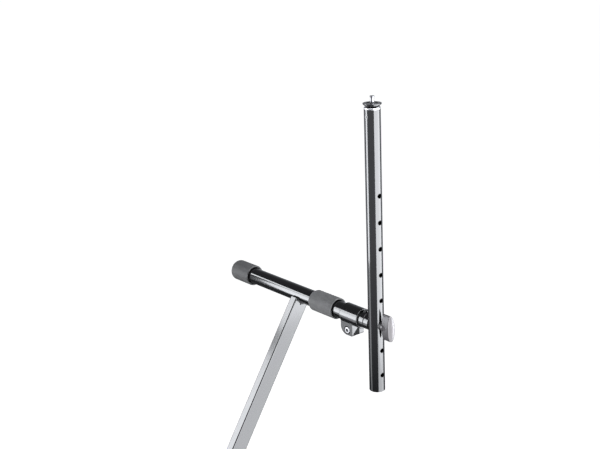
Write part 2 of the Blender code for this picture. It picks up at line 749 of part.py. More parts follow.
def build_knob_washer():
    """Plastic washer hollowed to the mast's radius."""
    start = 10 * MM + MAST_X
    profile = rod_profile(8.6 * MM, WASHER_RIGHT - start)
    washer = turned("knob_washer", profile, BLACK_PLASTIC, arm_point(start), "X")
    bore(washer, MAST_RADIUS + FIT, 40 * MM, arm_point(MAST_X, 0, -20 * MM), "Z", MAST_STEPS)
    return bore(washer, M8_RADIUS + 0.3 * MM, 30 * MM, arm_point(start - MM), "X")


def ellipse(half_width, half_height, count=32):
    steps = [math.tau * i / count for i in range(count)]
    return [(half_width * math.cos(a), half_height * math.sin(a)) for a in steps]


def build_knob():
    """Wing knob: a hub, an oval blade along Z and a domed cap, on the bolt through the mast."""
    depth = BLADE_RIGHT - BLADE_LEFT
    outline = [(y, x) for x, y in ellipse(BLADE_HALF_WIDTH, BLADE_HALF_HEIGHT)]
    middle = arm_point((BLADE_LEFT + BLADE_RIGHT) / 2)
    grip = extruded("knob_grip", outline[::-1], depth, GREY_PLASTIC, middle, "X")
    hub_length = 12 * MM
    hub_profile = [
        (0, hub_length),
        (HUB_RADIUS - 2.5 * MM, hub_length),
        (HUB_RADIUS, 4 * MM),
        (HUB_RADIUS, 0),
        (0, 0),
    ]
    hub = turned("knob_hub", hub_profile, None, arm_point(HUB_LEFT), "X", group=CUTTERS)
    cut(grip, hub, "UNION")
    bolt_right = BLADE_RIGHT - 5 * MM
    bore(grip, M8_RADIUS + FIT, bolt_right - HUB_LEFT + FIT + MM, arm_point(HUB_LEFT - MM), "X")
    bolt_left = HEAD_CORE_LEFT + 0.5 * MM
    length = bolt_right - bolt_left
    start = arm_point(bolt_left)
    bolt = rod("knob_bolt", M8_RADIUS, length, ZINC, start, "X", 0.7 * MM, SMALL_STEPS)
    return [grip, build_knob_cap(), bolt]


def build_knob_cap():
    """Half of an ellipsoid on the blade's end face."""
    shape = bmesh.new()
    bmesh.ops.create_uvsphere(shape, u_segments=24, v_segments=12, radius=1)
    height = DOME_RIGHT - BLADE_RIGHT
    size = (height, BLADE_HALF_WIDTH, BLADE_HALF_HEIGHT - 0.4 * MM)
    bmesh.ops.scale(shape, verts=shape.verts, vec=size)
    mesh = bpy.data.meshes.new("knob_face_cap")
    shape.to_mesh(mesh)
    shape.free()
    cap = place(add_object("knob_face_cap", mesh, PALE_PLASTIC), arm_point(BLADE_RIGHT))
    block = (40 * MM, 40 * MM, 80 * MM)
    back = add_object("cap_back", block_mesh("cap_back", block), None, CUTTERS)
    back.location = arm_point(BLADE_RIGHT + FIT - block[0] / 2)
    return cut(cap, back)


def build_stand():
    build_main_leg()
    build_arm()
    build_collar()
    build_liner()
    nut_y = EAR_HALF_WIDTH - NUT_DEPTH / 2
    nut_at = arm_point(CLAMP_SCREW_X, nut_y, -CLAMP_SCREW_DROP)
    hex_nut("clamp_nut", NUT_DEPTH - 2 * FIT, nut_at, "Y")
    build_floor_bar("front", -ARM_Y)
    strut_pieces, knob_pieces = build_pivot()

    fold = joint_axis("strut_fold_axis", (STRUT_X, 0, PIVOT_HEIGHT))
    carry(fold, build_strut(), build_strut_plug(), *strut_pieces, *build_floor_bar("rear", ARM_Y))
    carry(joint_axis("pivot_knob_axis", (0, 0, PIVOT_HEIGHT)), *knob_pieces)

    screw_axis = joint_axis("clamp_screw_axis", arm_point(CLAMP_SCREW_X, 0, -CLAMP_SCREW_DROP))
    carry(screw_axis, build_clamp_screw())
    carry(joint_axis("arm_slide_axis", arm_point(SPIGOT_LEFT)), *build_spigot())
    tilt = joint_axis("mast_tilt_axis", arm_point(MAST_X))
    carry(tilt, *build_head(), build_saddle(), *build_mast())
    carry(joint_axis("lock_screw_axis", arm_point(LOCK_SCREW_X)), build_lock_screw())
    carry(joint_axis("knob_travel_axis", arm_point(WASHER_RIGHT)), build_knob_washer())
    carry(joint_axis("knob_turn_axis", arm_point(HUB_LEFT)), *build_knob())
    carry(joint_axis("disc_turn_axis", (MAST_X, ARM_Y, MAST_TOP)), build_lock_disc())


build_stand()
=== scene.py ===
"""Looks of the music stand: fine meshes, finishes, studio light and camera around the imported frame."""

import math

import bmesh
import bpy
from mathutils import Matrix, Vector, noise


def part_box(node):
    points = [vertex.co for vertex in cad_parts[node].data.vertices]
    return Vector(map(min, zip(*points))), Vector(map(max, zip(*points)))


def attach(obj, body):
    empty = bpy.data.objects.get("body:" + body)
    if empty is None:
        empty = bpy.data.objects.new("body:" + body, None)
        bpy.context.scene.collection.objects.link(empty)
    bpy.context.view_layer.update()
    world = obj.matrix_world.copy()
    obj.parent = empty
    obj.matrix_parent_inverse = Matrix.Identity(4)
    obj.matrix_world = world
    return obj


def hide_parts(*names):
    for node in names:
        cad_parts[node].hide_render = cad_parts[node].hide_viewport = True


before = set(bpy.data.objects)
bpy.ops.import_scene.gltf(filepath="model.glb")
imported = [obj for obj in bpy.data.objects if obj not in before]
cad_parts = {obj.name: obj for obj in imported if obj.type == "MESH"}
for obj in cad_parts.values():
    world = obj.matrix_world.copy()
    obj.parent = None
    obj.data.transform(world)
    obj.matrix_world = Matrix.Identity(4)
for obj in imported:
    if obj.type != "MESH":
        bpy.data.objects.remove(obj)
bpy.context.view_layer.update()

MM = 0.001
LEG_ANGLE = math.radians(33.4)  # of both legs from the vertical
LEG_CORNER = 2.5 * MM
TUBE_WALL = 1.5 * MM
FIT = 0.3 * MM
FINE = 112  # steps round a large turned piece
SMALL = 48
LEG_THICK = 18 * MM
LEG_WIDTH = 35 * MM
BAR_HEIGHT = 21 * MM
BLADE_HALF_WIDTH = 6.5 * MM
HOLE_PITCH = 50 * MM
HOLE_RADIUS = 4.6 * MM
HOLES_BELOW = 2
HOLES_ABOVE = 5
DENT_DROP = 13 * MM  # from the mast's top to the dent's centre
DENT_RADIUS = 3.2 * MM
DENT_DEPTH = 0.7 * MM
NUT_RADIUS = 7.4 * MM
POCKET_RADIUS = 7.7 * MM
BOLT_CLEARANCE = 0.3 * MM
SINK_CLEARANCE = 1.5 * MM
NECK_RADIUS = 16 * MM

CAMERA_PLACE = (1.507593, -0.986954, 1.504499)
CAMERA_ANGLES = (50.783, 17.345, -2.332)  # azimuth, elevation and roll in degrees
CAMERA_LENS = 61.832
CAMERA_SENSOR = 36

FLOOR_GLOW = 0.68
AMBIENT = 0.42
KEY = 8.5  # brightness of a softbox in reflections
KEY_DIFFUSE = 6
FILL_DIFFUSE = 1.0
SOFTBOX_TINT = (0.97, 0.99, 1.03)
# Brightness of the room in reflections, by elevation in degrees
ROOM = (
    (-90, 0.05), (-38, 0.08), (-27, 0.12), (-19, 0.66), (-5, 0.66), (16, 0.3), (35, 0.12), (90, 0.15),
)


def middle(node):
    low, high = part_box(node)
    return (low + high) / 2


def size(node):
    low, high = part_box(node)
    return high - low


ARM = middle("adapter_spigot")  # a point on the arm's axis
MAST = middle("mast_tube")
MAST_RADIUS = size("mast_top_plug").x / 2
ARM_RADIUS = size("support_arm_tube").z / 2
BAR_RADIUS = size("front_floor_bar").z / 2
EAR_RIGHT = MAST.x - 50 * MM
HEAD_LEFT = MAST.x - 33.4 * MM
PIVOT = middle("clutch_disc_leg")
STRUT_X = middle("rear_strut").x
M8_RADIUS = size("knob_bolt").z / 2

AXES = {
    "X": (Vector((0, 1, 0)), Vector((0, 0, 1)), Vector((1, 0, 0))),
    "-X": (Vector((0, 0, 1)), Vector((0, 1, 0)), Vector((-1, 0, 0))),
    "Y": (Vector((0, 0, 1)), Vector((1, 0, 0)), Vector((0, 1, 0))),
    "-Y": (Vector((1, 0, 0)), Vector((0, 0, 1)), Vector((0, -1, 0))),
    "Z": (Vector((1, 0, 0)), Vector((0, 1, 0)), Vector((0, 0, 1))),
}


# ---------------------------------------------------------------- mesh tools

def spot(at, along, u, v, w):
    """A world point from coordinates beside and along an axis."""
    side, up, ahead = AXES[along]
    return Vector(at) + side * u + up * v + ahead * w


def filleted(corners, steps=5, closed=False):
    """Rounds the corners of an outline. A corner is (a, b) or (a, b, fillet radius)."""
    count = len(corners)
    points = []
    for i, corner in enumerate(corners):
        here = Vector(corner[:2])
        radius = corner[2] if len(corner) > 2 else 0
        if radius == 0 or (not closed and i in (0, count - 1)):
            points.append(here)
            continue
        back = Vector(corners[i - 1][:2]) - here
        ahead = Vector(corners[(i + 1) % count][:2]) - here
        opening = back.angle(ahead)
        reach = min(radius / math.tan(opening / 2), back.length * 0.49, ahead.length * 0.49)
        radius = reach * math.tan(opening / 2)
        centre = here + (back.normalized() + ahead.normalized()).normalized() * (
            radius / math.sin(opening / 2)
        )
        first = here + back.normalized() * reach - centre
        last = here + ahead.normalized() * reach - centre
        turn = first.angle(last)
        for k in range(steps + 1):
            part = k / steps
            mix = first * math.sin((1 - part) * turn) + last * math.sin(part * turn)
            points.append(centre + mix / math.sin(turn))
    return points


def object_from(name, shape):
    bmesh.ops.remove_doubles(shape, verts=shape.verts, dist=1e-7)
    bmesh.ops.recalc_face_normals(shape, faces=shape.faces)
    mesh = bpy.data.meshes.new(name)
    shape.to_mesh(mesh)
    shape.free()
    piece = bpy.data.objects.new(name, mesh)
    bpy.context.scene.collection.objects.link(piece)
    return piece


def skin(name, loops, ring=False):
    """Faces between equal loops of points. Open ends get a face each; a ring joins end to start."""
    shape = bmesh.new()
    rows = [[shape.verts.new(p) for p in loop] for loop in loops]
    pairs = list(zip(rows, rows[1:]))
    if ring:
        pairs.append((rows[-1], rows[0]))
    for low, high in pairs:
        for i in range(len(low)):
            j = (i + 1) % len(low)
            shape.faces.new((low[i], low[j], high[j], high[i]))
    if not ring:
        shape.faces.new(rows[0])
        shape.faces.new(rows[-1])
    return object_from(name, shape)


def turned(name, profile, at, along, steps=FINE, closed=False):
    """A surface of revolution from (radius, distance along) points, open only at the axis."""
    shape = bmesh.new()
    angles = [math.tau * i / steps for i in range(steps)]
    rows = []
    for radius, height in profile:
        if radius < 1e-7:
            rows.append([shape.verts.new(spot(at, along, 0, 0, height))])
        else:
            rows.append([
                shape.verts.new(
                    spot(at, along, radius * math.cos(a), radius * math.sin(a), height)
                )
                for a in angles
            ])
    pairs = list(zip(rows, rows[1:]))
    if closed:
        pairs.append((rows[-1], rows[0]))
    for low, high in pairs:
        for i in range(steps):
            j = (i + 1) % steps
            if len(low) == 1:
                shape.faces.new((low[0], high[j], high[i]))
            elif len(high) == 1:
                shape.faces.new((low[i], low[j], high[0]))
            else:
                shape.faces.new((low[i], low[j], high[j], high[i]))
    return object_from(name, shape)


def rod(name, radius, length, at, along, edge=0.0, steps=FINE):
    corners = [(0, 0), (radius, 0, edge), (radius, length, edge), (0, length)]
    return turned(name, filleted(corners, 3), at, along, steps)


def pipe(name, outer, inner, length, at, along, edge=0.4 * MM, steps=FINE):
    corners = [(outer, 0, edge), (outer, length, edge), (inner, length, edge / 2), (inner, 0, edge / 2)]
    return turned(name, filleted(corners, 3, closed=True), at, along, steps, closed=True)


def extruded(name, outline, at, along, length):
    loops = [[spot(at, along, p[0], p[1], w) for p in outline] for w in (0, length)]
    return skin(name, loops)


def hexagon(radius, turn=0.0):
    angles = [math.radians(60 * i) + turn for i in range(6)]
    return [(radius * math.cos(a), radius * math.sin(a)) for a in angles]


def round_rectangle(width, height, radius, steps=6):
    w, h = width / 2, height / 2
    return filleted([(w, -h, radius), (w, h, radius), (-w, h, radius), (-w, -h, radius)], steps, True)


def swept(name, path, radius, sides=12):
    """A round bead along a path. radius(i) gives its thickness at each point."""
    loops = []
    for i, here in enumerate(path):
        before = path[max(i - 1, 0)]
        after = path[min(i + 1, len(path) - 1)]
        ahead = (after - before).normalized()
        side = ahead.orthogonal() if not loops else last_side - ahead * last_side.dot(ahead)
        side.normalize()
        last_side = side
        up = ahead.cross(side)
        r = radius(i)
        angles = [math.tau * k / sides for k in range(sides)]
        loops.append([here + (side * math.cos(a) + up * math.sin(a)) * r for a in angles])
    return skin(name, loops)


def apply_modifiers(piece):
    graph = bpy.context.evaluated_depsgraph_get()
    mesh = bpy.data.meshes.new_from_object(piece.evaluated_get(graph))
    piece.modifiers.clear()
    old = piece.data
    piece.data = mesh
    bpy.data.meshes.remove(old)
    mesh.name = piece.name


def carve(piece, *tools, operation="DIFFERENCE"):
    """Cuts tools out of a piece, or joins them to it, and removes them."""
    for tool in tools:
        change = piece.modifiers.new("carve", "BOOLEAN")
        change.operation = operation
        change.object = tool
        change.solver = "EXACT"
    apply_modifiers(piece)
    for tool in tools:
        bpy.data.objects.remove(tool, do_unlink=True)
    return piece


def soften(piece, width, segments=2, angle=38):
    """Rounds the sharp edges, as paint and casting leave them."""
    change = piece.modifiers.new("soften", "BEVEL")
    change.limit_method = "ANGLE"
    change.angle_limit = math.radians(angle)
    change.width = width
    change.segments = segments
    apply_modifiers(piece)
    return piece


def smooth(piece, angle=33):
    """Smooth shading in which large faces stay true and edges stay crisp."""
    piece.data.shade_smooth()
    piece.data.set_sharp_from_angle(angle=math.radians(angle))
    change = piece.modifiers.new("normals", "WEIGHTED_NORMAL")
    change.weight = 90
    change.keep_sharp = True
    apply_modifiers(piece)


def paint_socket_shade(piece, look, at, along, radius, depth):
    """Paints a socket's faces a darker zinc: painted shade in the recess. depth is measured from the end of
    the piece.
    """
    piece.data.materials.append(look)
    ahead = AXES[along][2]
    for face in piece.data.polygons:
        offset = face.center - Vector(at)
        sunk = offset.dot(ahead)
        aside = (offset - ahead * sunk).length
        if aside < radius and sunk > depth:
            face.material_index = len(piece.data.materials) - 1


def set_piece(piece, body, look, slot, *nodes):
    smooth(piece)
    piece.data.materials.clear()
    piece.data.materials.append(look)
    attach(piece, body)
    if nodes:
        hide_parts(*nodes)
    return piece


# ---------------------------------------------------------------- finishes

class Finish:
    """A material under construction: its node tree and the shader it ends in."""

    def __init__(self, name, colour, roughness, metallic=0.0, ior=1.5):
        self.material = bpy.data.materials.new(name)
        self.material.use_nodes = True
        self.nodes = self.material.node_tree.nodes
        self.links = self.material.node_tree.links
        self.shader = self.nodes["Principled BSDF"]
        self.shader.inputs["Base Color"].default_value = (*colour, 1)
        self.shader.inputs["Roughness"].default_value = roughness
        self.shader.inputs["Metallic"].default_value = metallic
        self.shader.inputs["IOR"].default_value = ior
        self.place = self.nodes.new("ShaderNodeTexCoord").outputs["Object"]

    def node(self, kind, **inputs):
        made = self.nodes.new(kind)
        for name, value in inputs.items():
            socket = made.inputs[name.replace("_", " ")]
            if isinstance(value, bpy.types.NodeSocket):
                self.links.new(value, socket)
            else:
                socket.default_value = value
        return made

    def grain(self, scale, detail=3.0, stretch=(1, 1, 1), roughness=0.5):
        """Noise over the surface. scale counts its features per metre."""
        place = self.place
        if stretch != (1, 1, 1):
            mapping = self.node("ShaderNodeMapping", Vector=place)
            mapping.inputs["Scale"].default_value = stretch
            place = mapping.outputs["Vector"]
        made = self.node(
            "ShaderNodeTexNoise", Vector=place, Scale=scale, Detail=detail, Roughness=roughness
        )
        return made.outputs["Fac"]

    def spread(self, value, low, high, start=0.3, end=0.7):
        made = self.node("ShaderNodeMapRange", Value=value)
        for socket, number in zip(("From Min", "From Max", "To Min", "To Max"), (start, end, low, high)):
            made.inputs[socket].default_value = number
        return made.outputs["Result"]

    def blend(self, value, low, high, start=0.3, end=0.7):
        """A colour that runs from low to high with a value."""
        ramp = self.nodes.new("ShaderNodeValToRGB")
        ramp.color_ramp.elements[0].position = start
        ramp.color_ramp.elements[1].position = end
        ramp.color_ramp.elements[0].color = (*low, 1)
        ramp.color_ramp.elements[1].color = (*high, 1)
        self.links.new(value, ramp.inputs["Fac"])
        return ramp.outputs["Color"]

    def bumps(self, *layers):
        """Stacks bumps. A layer is (height, strength, depth in metres)."""
        normal = None
        for height, strength, depth in layers:
            made = self.node("ShaderNodeBump", Height=height, Strength=strength, Distance=depth)
            if normal:
                self.links.new(normal, made.inputs["Normal"])
            normal = made.outputs["Normal"]
        self.links.new(normal, self.shader.inputs["Normal"])

    def set(self, **sockets):
        for name, value in sockets.items():
            self.links.new(value, self.shader.inputs[name.replace("_", " ")])


def worn_edge(finish):
    """Strongest on convex edges, with a broken outline."""
    edge = finish.nodes.new("ShaderNodeNewGeometry").outputs["Pointiness"]
    return finish.spread(edge, 0.0, 1.0, 0.53, 0.6)


def powder_coat(name, peel=0.05, gloss=0.05):
    finish = Finish(name, (0.007, 0.007, 0.008), 0.1, ior=1.72)
    cloud = finish.grain(9, 4)
    fine = finish.grain(700, 2)
    wear = worn_edge(finish)
    base = finish.spread(cloud, gloss, gloss + 0.05)
    speck = finish.spread(fine, 0, 0.03)
    polish = finish.node("ShaderNodeMath", Value=base)
    finish.links.new(speck, polish.inputs[1])
    rubbed = finish.node("ShaderNodeMath", Value=polish.outputs[0])
    scaled = finish.node("ShaderNodeMath", Value=wear)
    scaled.operation = "MULTIPLY"
    scaled.inputs[1].default_value = 0.08
    finish.links.new(scaled.outputs[0], rubbed.inputs[1])
    finish.set(
        Base_Color=finish.blend(cloud, (0.005, 0.005, 0.006), (0.009, 0.009, 0.010)),
        Roughness=rubbed.outputs[0],
    )
    finish.bumps((finish.grain(260, 3), peel, 0.00012), (fine, peel * 0.6, 0.00003))
    return finish.material


def rubber(name, dark, light):
    finish = Finish(name, dark, 0.7, ior=1.45)
    pores = finish.grain(1500, 3, roughness=0.6)
    cloud = finish.grain(38, 5)
    tool_marks = finish.grain(420, 2, stretch=(0.12, 1, 1))
    mottle = finish.node("ShaderNodeMath", Value=finish.grain(620, 4))
    finish.links.new(finish.grain(170, 3, stretch=(0.4, 1, 1)), mottle.inputs[1])
    half = finish.node("ShaderNodeMath", Value=mottle.outputs[0])
    half.operation = "MULTIPLY"
    half.inputs[1].default_value = 0.5
    finish.set(
        Base_Color=finish.blend(half.outputs[0], dark, light, 0.38, 0.62),
        Roughness=finish.spread(cloud, 0.58, 0.76),
    )
    finish.bumps((pores, 0.5, 0.00025), (tool_marks, 0.3, 0.0003), (cloud, 0.1, 0.0006))
    return finish.material


def moulded(name, dark, light, low, high, texture=0.3):
    finish = Finish(name, dark, low, ior=1.5)
    cloud = finish.grain(55, 4)
    finish.set(
        Base_Color=finish.blend(cloud, dark, light),
        Roughness=finish.spread(finish.grain(900, 3), low, high),
    )
    finish.bumps((finish.grain(1900, 2), texture, 0.0001), (cloud, 0.08, 0.0004))
    return finish.material


def plated(name, colour, low, high, marks=0.25, stretch=(1, 1, 1)):
    finish = Finish(name, colour, low, metallic=1.0)
    cloud = finish.grain(150, 4)
    lines = finish.grain(2400, 2, stretch=stretch)
    dark = tuple(c * 0.86 for c in colour)
    finish.set(
        Base_Color=finish.blend(cloud, dark, colour),
        Roughness=finish.spread(lines, low, high),
    )
    finish.bumps((lines, marks, 0.00004))
    return finish.material


COAT = powder_coat("black_powder_coat")
CAST_COAT = powder_coat("black_coat_on_casting", peel=0.14, gloss=0.07)
WELD_COAT = powder_coat("black_coat_on_weld", peel=0.6, gloss=0.14)
RUBBER = rubber("grey_rubber_grain", (0.078, 0.079, 0.082), (0.122, 0.123, 0.126))
# The sleeve's rubber is the caps' rubber painted lighter: painted light for the stronger light that falls on
# the sleeve.
SLEEVE_RUBBER_PAINTED_LIGHT = rubber("grey_rubber_painted_lighter", (0.135, 0.137, 0.141), (0.19, 0.192, 0.197))
BLACK_NYLON = moulded("black_nylon", (0.013, 0.013, 0.014), (0.022, 0.022, 0.023), 0.35, 0.5)
GREY_NYLON = moulded("grey_nylon", (0.092, 0.088, 0.097), (0.112, 0.107, 0.118), 0.32, 0.44)
PALE_NYLON = moulded("pale_nylon", (0.5, 0.485, 0.51), (0.56, 0.545, 0.57), 0.26, 0.34, 0.12)
STUD_STEEL = plated("dark_turned_steel", (0.24, 0.24, 0.25), 0.08, 0.16)
SCREW_STEEL = plated("screw_steel", (0.5, 0.5, 0.51), 0.18, 0.3)
# Darker zinc that paints shade inside the clamp screw's hex socket.
SOCKET_SHADE_ZINC = plated("zinc_painted_socket_shade", (0.09, 0.09, 0.1), 0.4, 0.6)
ZINC = plated("bright_zinc", (0.8, 0.8, 0.81), 0.16, 0.32)


# ---------------------------------------------------------------- round tubes and rubber

def build_arm():
    low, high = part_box("support_arm_tube")
    length = high.x - low.x
    at = (low.x, ARM.y, ARM.z)
    tube = pipe("arm_tube", ARM_RADIUS, ARM_RADIUS - TUBE_WALL, length, at, "X")
    slit_y = 3 * MM
    slot = extruded(
        "slot", round_rectangle(96 * MM, 3 * MM, 1.4 * MM),
        (high.x, ARM.y + slit_y, ARM.z - 2 * ARM_RADIUS), "Z", ARM_RADIUS * 1.6,
    )
    carve(tube, slot)
    set_piece(tube, "frame", COAT, "black_coat", "support_arm_tube")


def rubber_cap(name, node, body, along, inner_radius, standing):
    """A cap with a rolled end, a soft lip at its mouth and, on the floor bars, a flat tread."""
    low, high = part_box(node)
    length = high.x - low.x
    centre_z = ARM.z if not standing else BAR_HEIGHT
    radius = high.z - centre_z
    mouth = low.x if along == "X" else high.x
    at = (mouth, (low.y + high.y) / 2, centre_z)
    bore = inner_radius + FIT
    end = 6 * MM
    corners = [
        (0, length),
        (radius - 7.6 * MM, length, 3 * MM),
        (radius, length - 7.6 * MM, 9 * MM),
        (radius, 0, 1.3 * MM),
        (radius - 2.4 * MM, 0, 0.8 * MM),
        (bore + 1.2 * MM, 1.4 * MM, 1.0 * MM),
        (bore, 5 * MM, 0.6 * MM),
        (bore, length - end),
        (0, length - end),
    ]
    cap = turned(name, filleted(corners, 6), at, along)
    if standing:
        block = extruded(
            "tread", round_rectangle(length * 3, radius * 3, 0.5 * MM), (at[0], at[1], -radius),
            "Z", radius + low.z,
        )
        carve(cap, block)
    return set_piece(cap, body, RUBBER, "grey_rubber", node)


def build_sleeve():
    low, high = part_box("arm_sleeve")
    length = high.x - low.x
    radius = (high.z - low.z) / 2
    grip = ARM_RADIUS + FIT
    corners = [
        (grip, 0, 0.3 * MM),
        (radius - 2.6 * MM, 0.4 * MM, 1.2 * MM),
        (radius, 5 * MM, 3.5 * MM),
        (radius, length, 1.5 * MM),
        (radius - 2.5 * MM, length, 0.8 * MM),
        (grip, length - 9 * MM, 0.5 * MM),
    ]
    sleeve = turned("grip_sleeve", filleted(corners, 6, True), (low.x, ARM.y, ARM.z), "X", closed=True)
    # The sleeve gets the lighter copy of the rubber: painted light.
    set_piece(sleeve, "frame", SLEEVE_RUBBER_PAINTED_LIGHT, "grey_rubber", "arm_sleeve")


def build_floor_bar(prefix, body):
    low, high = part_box(prefix + "_floor_bar")
    at = (low.x, (low.y + high.y) / 2, BAR_HEIGHT)
    bar = pipe(prefix + "_bar", BAR_RADIUS, BAR_RADIUS - TUBE_WALL, high.x - low.x, at, "X")
    set_piece(bar, body, COAT, "black_coat", prefix + "_floor_bar")
    for side, along in (("left", "-X"), ("right", "X")):
        node = f"{prefix}_foot_{side}"
        rubber_cap(f"{prefix}_cap_{side}", node, body, along, BAR_RADIUS, True)


# ---------------------------------------------------------------- legs

def leg_axes(tilt):
    """Across the leg, through its width and up along it."""
    ahead = Vector((0, -math.sin(tilt), math.cos(tilt)))
    side = Vector((1, 0, 0))
    return side, ahead.cross(side), ahead


def leg_loops(outline_size, corner, x, tilt, distances):
    side, across, ahead = leg_axes(tilt)
    base = Vector((x, 0, PIVOT.z))
    loops = []
    for distance, inset in distances:
        outline = round_rectangle(
            outline_size[0] - 2 * inset, outline_size[1] - 2 * inset, max(corner - inset, 0.3 * MM)
        )
        loops.append([base + side * p[0] + across * p[1] + ahead * distance for p in outline])
    return loops


def leg_tube(name, lower, upper, x, tilt):
    """A rectangular tube with soft cut ends, its inside included."""
    edge = 0.4 * MM
    full = (LEG_THICK, LEG_WIDTH)
    hollow = (LEG_THICK - 2 * TUBE_WALL, LEG_WIDTH - 2 * TUBE_WALL)
    outer = leg_loops(full, LEG_CORNER, x, tilt, [
        (lower, edge), (lower + edge, 0), (upper - edge, 0), (upper, edge),
    ])
    inner = leg_loops(hollow, LEG_CORNER - TUBE_WALL, x, tilt, [(upper, 0), (lower, 0)])
    return skin(name, outer + inner, ring=True)


def weld_bead(name, body, axis_y, axis_z, x, radius, towards, spread, thickness=1.5 * MM):
    """A rippled bead round part of a tube that runs along X."""
    steps = 90
    path = []
    for i in range(steps + 1):
        angle = towards + spread * (2 * i / steps - 1)
        wobble = 0.25 * MM * noise.noise(Vector((i * 0.31, axis_y * 90, x * 700)))
        path.append(Vector((
            x,
            axis_y + (radius + 0.5 * MM + wobble) * math.cos(angle),
            axis_z + (radius + 0.5 * MM + wobble) * math.sin(angle),
        )))

    def width(i):
        taper = min(1, 0.35 + i / 8, 0.35 + (steps - i) / 8)
        ripple = 1 + 0.12 * math.sin(i * 1.35) + 0.12 * noise.noise(Vector((i * 0.4, x * 900, 0)))
        return thickness * taper * ripple

    bead = swept(name, path, width)
    set_piece(bead, body, WELD_COAT, "black_coat")


def tube_welds(prefix, body, x, tilt, centre, radius, direction):
    """Beads where a leg's cut end meets a round tube: an arc on each side of the leg."""
    towards = leg_axes(tilt)[2] * direction
    angle = math.atan2(towards.z, towards.y)
    half_arc = math.asin(min(1, (LEG_WIDTH / 2 - 1.5 * MM) / (radius + FIT)))
    for name, side in (("left", -1), ("right", 1)):
        weld_bead(
            f"{prefix}_weld_{name}", body, centre[0], centre[1], x + side * LEG_THICK / 2,
            radius, angle, min(half_arc, math.radians(50)),
        )


def build_legs():
    run = (ARM.z - PIVOT.z) / math.cos(LEG_ANGLE)
    reach = run - 11.4 * MM
    leg = leg_tube("leg_tube", -reach, reach, 0, -LEG_ANGLE)
    clear = 2 * LEG_THICK
    start = -LEG_THICK
    front_y = middle("front_floor_bar").y
    rear_y = middle("rear_floor_bar").y
    sleeve = size("pivot_sleeve_leg").z / 2 + FIT
    vent_drop = 15.5 * MM
    vent_side = 10.8 * MM
    carve(
        leg,
        rod("arm_seat", ARM_RADIUS + FIT / 2, clear, (start, ARM.y, ARM.z), "X"),
        rod("bar_seat", BAR_RADIUS + FIT / 2, clear, (start, front_y, BAR_HEIGHT), "X"),
        rod("pivot_seat", sleeve, clear, (start, 0, PIVOT.z), "X", steps=SMALL),
        rod("vent", 2.2 * MM, LEG_THICK, (0, ARM.y - vent_side, ARM.z - vent_drop), "X", steps=SMALL),
    )
    set_piece(leg, "frame", COAT, "black_coat", "main_leg")
    strut = leg_tube("strut_tube", -reach, 24 * MM, STRUT_X, LEG_ANGLE)
    carve(
        strut,
        rod("bar_seat", BAR_RADIUS + FIT / 2, clear, (STRUT_X + start, rear_y, BAR_HEIGHT), "X"),
        rod("pivot_seat", sleeve, clear, (STRUT_X + start, 0, PIVOT.z), "X", steps=SMALL),
    )
    set_piece(strut, "strut", COAT, "black_coat", "rear_strut")
    tube_welds("arm", "frame", 0, -LEG_ANGLE, (ARM.y, ARM.z), ARM_RADIUS, -1)
    tube_welds("front", "frame", 0, -LEG_ANGLE, (front_y, BAR_HEIGHT), BAR_RADIUS, 1)
    tube_welds("rear", "strut", STRUT_X, LEG_ANGLE, (rear_y, BAR_HEIGHT), BAR_RADIUS, 1)
    build_strut_plug()


def build_strut_plug():
    top = 24 * MM + FIT
    thick = 2 * MM
    edge = 0.7 * MM
    inset = TUBE_WALL + FIT
    loops = leg_loops((LEG_THICK, LEG_WIDTH), LEG_CORNER, STRUT_X, LEG_ANGLE, [
        (top - 11 * MM, inset + 0.5 * MM), (top - 10 * MM, inset), (top, inset), (top, 0),
        (top + thick - edge, 0), (top + thick - edge * 0.3, edge * 0.3), (top + thick, edge),
    ])
    set_piece(
        skin("strut_cap", loops), "strut", BLACK_NYLON, "black_plastic", "strut_end_plug"
    )


# ---------------------------------------------------------------- pivot of the legs

def build_pivot():
    for name, node, body, along in (
        ("leg_friction_disc", "clutch_disc_leg", "frame", "X"),
        ("strut_friction_disc", "clutch_disc_strut", "strut", "X"),
    ):
        low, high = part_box(node)
        radius = (high.z - low.z) / 2
        thick = high.x - low.x
        hole = size("pivot_bolt").z / 4
        corners = [
            (hole, 0), (radius, 0, 0.5 * MM), (radius, thick, 0.5 * MM), (hole, thick),
        ]
        disc = turned(name, filleted(corners, 3, True), (low.x, 0, PIVOT.z), along, closed=True)
        set_piece(disc, body, BLACK_NYLON, "black_plastic", node)
    low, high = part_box("pivot_washer")
    washer = pipe(
        "steel_washer", (high.z - low.z) / 2, 5.2 * MM, high.x - low.x,
        (low.x, 0, PIVOT.z), "X", 0.3 * MM, 64,
    )
    set_piece(washer, "frame", ZINC, "zinc", "pivot_washer")
    low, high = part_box("pivot_bolt")
    head = (high.z - low.z) / 2
    shank = 5 * MM
    corners = [
        (0, 0), (head - 3 * MM, 0, 3 * MM), (head, 3.4 * MM, 1.5 * MM), (head, 5 * MM, 0.3 * MM),
        (shank, 5 * MM), (shank, high.x - low.x, 0.9 * MM), (0, high.x - low.x),
    ]
    bolt = turned("leg_bolt", filleted(corners, 5), (low.x, 0, PIVOT.z), "X", 72)
    key = extruded("key", hexagon(3.4 * MM), (low.x - MM, 0, PIVOT.z), "X", 4 * MM)
    carve(bolt, key)
    set_piece(bolt, "frame", ZINC, "zinc", "pivot_bolt")
    build_pivot_knob()


